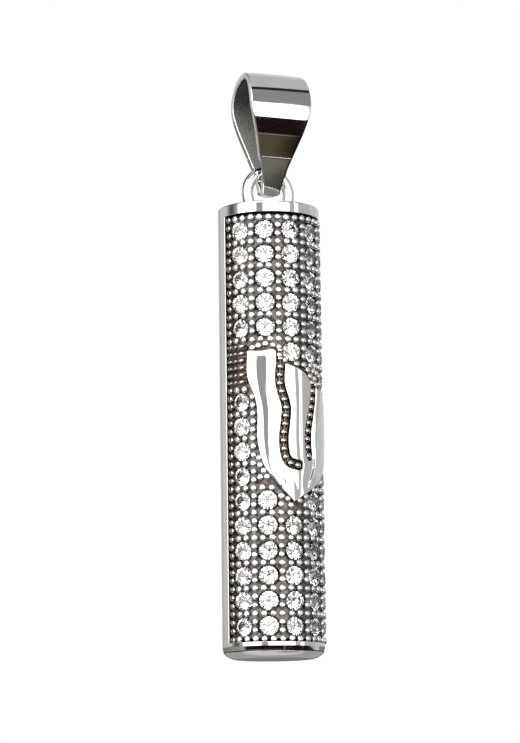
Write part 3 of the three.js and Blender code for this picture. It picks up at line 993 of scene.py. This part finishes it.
def strap_section(half_width, thickness):
    """A flat oblong with round edges: [across, outwards], its outer side a little crowned."""
    corner = min(0.075, thickness * 0.4, half_width * 0.45)
    flat = half_width - corner
    turn = np.linspace(0, math.pi / 2, 6)
    crown = 0.009 * half_width**2  # the rise of its middle
    side = [(flat + corner * math.sin(a), corner * (math.cos(a) - 1)) for a in turn[1:]]
    side += [(flat + corner * math.cos(a), corner * (1 - math.sin(a)) - thickness) for a in turn]
    points = [(x, crown * (1 - (x / half_width) ** 2)) for x in np.linspace(-flat, flat, 15)] + side
    points += [(x, -thickness) for x in np.linspace(flat, -flat, 15)[1:-1]]
    return points + [(-x, y) for x, y in reversed(side)]


def clear_of_loop(point):
    """Moves a point of the strap out of the room that the loop's wire needs to swing."""
    eye = LOOP_RADIUS - WIRE_RADIUS
    x, y, z = point
    away = math.hypot(y, z - PIVOT_Z)
    if abs(x) > 0.97 * eye or away < 1e-6:
        return point
    need = LOOP_RADIUS - math.sqrt(eye**2 - x**2) + 0.045
    if away >= need:
        return point
    return Vector((x, y * need / away, PIVOT_Z + (z - PIVOT_Z) * need / away))


def bail_strap():
    """One strap folded over: joined at its tongue, wide over the top, held as it hangs on the loop."""
    front = strap_line()
    rings = [(-depth, height, slope, 1) for depth, height, slope in front]
    rings += [(depth, height, slope, -1) for depth, height, slope in front[-2::-1]]
    hang = Matrix.Translation((BAIL_SHIFT, 0, PIVOT_Z))
    for angle, axis in ((BAIL_TURN, "Z"), (BAIL_LEAN, "Y"), (BAIL_PITCH, "X")):
        hang = hang @ Matrix.Rotation(math.radians(angle), 4, axis)
    verts = []
    for y, height, slope, facing in rings:
        outwards = Vector((0, -facing * math.cos(slope), math.sin(slope)))
        thickness = min(STRAP, (abs(y) - 0.004) / max(0.2, math.cos(slope)))
        for across, out in strap_section(strap_half_width(height, slope), thickness):
            point = hang @ (Vector((across, y, height)) + outwards * out)
            verts.append(clear_of_loop(point))
    around = len(verts) // len(rings)
    faces = grid_faces(len(rings), around) + end_faces(len(verts), around)
    middle_height = 1.5
    middle = hang @ Vector((0, 0, middle_height))
    reach = BAIL_CROWN - middle_height

    def is_inside(centre, normal):
        """Facing the line that runs up the middle of the fold."""
        from_middle = centre - middle
        from_middle.z -= max(0.0, min(reach, from_middle.z))
        return normal.dot(from_middle) < -0.3 * from_middle.length and centre.z > PIVOT_Z

    # faces inside the fold take the material with painted shade, darker towards the top
    piece("folded_bail", weighted(mesh_of(verts, faces)), "bail", SILVER,
          ["bail_strap"], INNER, is_inside)


# ---- Scroll ----

def scroll():
    """A long strip of parchment rolled from its inner end, with slightly uneven edges."""
    outer, pitch, sheet, turns, per_turn = 1.95, 0.19, 0.13, 7.5, 44
    count = int(turns * per_turn)
    theta = np.linspace(0, 2 * math.pi * turns, count)
    radius = outer - pitch * theta / (2 * math.pi)
    levels = np.linspace(scroll_low.z, scroll_high.z, 9)
    low_edge = 0.06 * (1 + np.sin(theta * 0.37 + 1))
    high_edge = 0.06 * (1 + np.sin(theta * 0.29 + 2))
    heights = [levels[0] + low_edge, *levels[1:-1], levels[-1] - high_edge]
    verts = []
    for height in heights:
        for r, order in ((radius, 1), (radius - sheet, -1)):
            verts += list(on_tube(r, np.degrees(theta), height - WINDOW_TOP)[::order])
    around = 2 * count
    faces = grid_faces(len(levels), around)
    top = (len(levels) - 1) * around
    for k in range(count - 1):
        inner = around - 1 - k
        faces.append((k, inner, inner - 1, k + 1))
        faces.append((top + k, top + k + 1, top + inner - 1, top + inner))
    mesh = smoothed(mesh_of(verts, faces), 40)
    piece("parchment_scroll", mesh, "scroll", PARCHMENT, ["scroll"])


def scroll_tie():
    """Two-ply thread round the scroll, its ends tied in front."""
    middle = (scroll_low.z + scroll_high.z) / 2
    ring, strand, twists = 2.075, 0.065, 34
    parts = []
    for ply in (0, math.pi):
        turn = np.linspace(0, 2 * math.pi, 560, endpoint=False)
        lay = twists * turn + ply
        reach = ring + 0.05 * np.cos(lay)
        line = on_tube(reach, np.degrees(turn), middle + 0.05 * np.sin(lay) - WINDOW_TOP)
        parts.append(tube_along(line, strand, around=8, closed=True))
    t = np.linspace(0, 2 * math.pi, 90, endpoint=False)
    knot = np.stack([0.085 * (np.sin(t) + 2 * np.sin(2 * t)), -ring - 0.06 - 0.06 * np.sin(3 * t),
                     middle + 0.085 * (np.cos(t) - 2 * np.cos(2 * t))], -1)
    parts.append(tube_along(knot, 0.07, around=8, closed=True))
    for side in (-1, 1):
        tail = [(0.05 * side, -ring - 0.05, middle - 0.1), (0.2 * side, -ring - 0.12, middle - 0.5),
                (0.16 * side, -ring - 0.02, middle - 1.0)]
        parts.append(tube_along(smooth_curve(tail, 8), 0.06, around=8))
    piece("tie_thread", gathered(parts), "scroll", THREAD, ["scroll_tie"])


# ---- Studio ----

def sky_patch(tree, colour, patch, masks):
    """Lays a patch of light over the sky where every (value, low, high, softness) mask holds."""
    share = None
    for value, low, high, soft in masks:
        for edge, rising in ((low, True), (high, False)):
            step = node(tree, "ShaderNodeMapRange", {
                "Value": value, "From Min": edge - soft, "From Max": edge + soft,
                "To Min": 0.0 if rising else 1.0, "To Max": 1.0 if rising else 0.0,
            }, interpolation_type="SMOOTHSTEP").outputs["Result"]
            share = calculated(tree, "MULTIPLY", share, step) if share else step
    return blended(tree, share, colour, patch)


def studio_sky():
    """What the metal mirrors: white panels, dark low in front, pale behind. The camera sees plain white."""
    world = bpy.data.worlds.new("studio")
    bpy.context.scene.world = world
    world.use_nodes = True
    tree = world.node_tree
    tree.nodes.clear()
    heading = node(tree, "ShaderNodeTexCoord").outputs["Generated"]
    parts = node(tree, "ShaderNodeSeparateXYZ", {"Vector": heading})
    ahead = calculated(tree, "MULTIPLY", parts.outputs["Y"], -1.0)
    around = calculated(tree, "DEGREES", calculated(tree, "ARCTAN2", parts.outputs["X"], ahead))
    raised = calculated(tree, "DEGREES", calculated(tree, "ARCSINE", parts.outputs["Z"]))
    aside = calculated(tree, "ABSOLUTE", around)

    sky = node(tree, "ShaderNodeRGB").outputs[0]
    sky.default_value = (0.58, 0.58, 0.575, 1)
    patches = [
        ((0.66, 0.66, 0.655), [(aside, 115, 168, 8)]),  # pale wall behind, on both sides
        ((0.46, 0.46, 0.455), [(aside, 168, 200, 8)]),
        ((0.58, 0.58, 0.575), [(around, -166, -140, 6)]),
        ((0.47, 0.47, 0.465), [(around, 20, 84, 5), (raised, -40, 56, 4)]),  # grey wall at the right
        ((0.26, 0.26, 0.255), [(raised, 19.5, 55, 1.5), (around, -3, 62, 4)]),  # dim room over the panel
        ((0.50, 0.495, 0.49), [(raised, 55, 100, 3)]),  # ceiling
        ((0.085, 0.08, 0.075), [(around, -132, -106, 12), (raised, -40, 40, 8)]),  # dark curtain, far left
        ((0.10, 0.095, 0.09), [(around, -172, -112, 8), (raised, 24, 62, 5)]),  # dark shelf, far left
        ((0.20, 0.198, 0.19), [(raised, -14, 2, 3), (aside, 100, 200, 6)]),  # foot of the wall behind
        ((0.36, 0.355, 0.34), [(raised, -55, -14, 8), (aside, 95, 200, 6)]),  # floor behind
        ((0.62, 0.615, 0.60), [(raised, -100, -55, 8), (aside, 95, 200, 6)]),
        ((0.24, 0.235, 0.225), [(raised, -100, -24, 2), (around, -98, 2, 5)]),  # floor in front, left
        ((0.012, 0.008, 0.007), [(raised, -100, -14, 1), (around, 2, 98, 4)]),  # and right, in shade
        ((0.085, 0.068, 0.042), [(raised, -60, -33.5, 0.8), (around, -4, 24, 3)]),  # brown and olive cloth
        ((0.165, 0.16, 0.13), [(raised, -33.5, -27.5, 0.6), (around, -4, 24, 3)]),
        ((0.010, 0.006, 0.005), [(raised, -27.5, -14, 0.8), (aside, -1, 98, 6)]),  # dark table edge
        ((2.6, 2.6, 2.6), [(around, -98, 23, 2), (raised, -15, 19.5, 1)]),  # long white panel
        ((2.6, 2.6, 2.6), [(around, -98, -3, 3), (raised, 10, 48, 3)]),  # and its taller part, left
        ((0.34, 0.33, 0.34), [(around, -54, -37.5, 2), (raised, -15, 18, 2)]),  # stand before it
        ((1.9, 1.9, 1.9), [(around, 37, 46, 2), (raised, -15, 30, 3)]),  # narrow lamp at the right
        ((0.02, 0.018, 0.018), [(raised, 48, 54.5, 0.7), (aside, -1, 75, 6)]),  # gap under the ceiling
    ]
    for patch, masks in patches:
        sky = sky_patch(tree, sky, patch, masks)
    studio = node(tree, "ShaderNodeBackground", {"Color": sky, "Strength": 1.0}).outputs[0]
    plain = node(tree, "ShaderNodeBackground", {"Color": (1.0, 1.0, 1.0, 1), "Strength": 1.0}).outputs[0]
    seen = node(tree, "ShaderNodeLightPath").outputs["Is Camera Ray"]
    either = node(tree, "ShaderNodeMixShader", {0: seen, 1: studio, 2: plain}).outputs[0]
    node(tree, "ShaderNodeOutputWorld", {"Surface": either})


def pale_floor():
    """A wide pale floor below the pulled-out plug."""
    material, tree, shader = new_material("pale_floor")
    rough = ranged(tree, noise(tree, 0.02), 0.75, 0.85)
    feed(shader, {"Base Color": (0.93, 0.93, 0.925, 1), "Roughness": rough})
    mesh = bpy.data.meshes.new("floor")
    turns = np.linspace(0, 2 * math.pi, 128, endpoint=False)
    mesh.from_pydata([(FLOOR_REACH * math.cos(a), FLOOR_REACH * math.sin(a), FLOOR_Z) for a in turns], [],
                     [tuple(range(len(turns)))])
    mesh.materials.append(material)
    floor = new_object("floor", mesh)
    floor.visible_glossy = False
    floor.visible_transmission = False


def key_light():
    """A large square lamp, high in front at the left, that faces the pendant's middle."""
    light = bpy.data.lights.new("key", "AREA")
    light.shape = "SQUARE"
    light.size = 0.3
    light.energy = 1.6
    lamp = new_object("key", light)
    lamp.location = (-0.25, -0.35, 0.55)
    lamp.rotation_mode = "QUATERNION"
    lamp.rotation_quaternion = (Vector((0, 0, -0.02)) - lamp.location).to_track_quat("-Z", "Y")
    lamp.visible_glossy = False


def camera():
    """Stands below the pendant's middle, 26 degrees to its left, looks up at it and rolls slightly."""
    azimuth, tilt, roll = math.radians(-26), math.radians(8.862), math.radians(-0.713)
    heading = azimuth + math.radians(0.205)
    distance, height = 0.1975, -0.05128
    data = bpy.data.cameras.new("camera")
    data.lens = 140.1
    data.clip_start, data.clip_end = 0.01, 5
    thing = new_object("camera", data)
    stand = Vector((distance * math.sin(azimuth), -distance * math.cos(azimuth), height))
    thing.matrix_world = (Matrix.Translation(stand) @ Matrix.Rotation(heading, 4, "Z")
                          @ Matrix.Rotation(math.pi / 2 + tilt, 4, "X") @ Matrix.Rotation(roll, 4, "Z"))
    bpy.context.scene.camera = thing


bpy.context.scene.view_settings.view_transform = "Standard"
studio_sky()
pale_floor()
key_light()
camera()

case_tube()
top_cap()
bottom_plug()
pave_plate()
bead_prongs()
stones()
emblem()
bead_wires()
loop_ring()
bail_strap()
scroll()
scroll_tie()
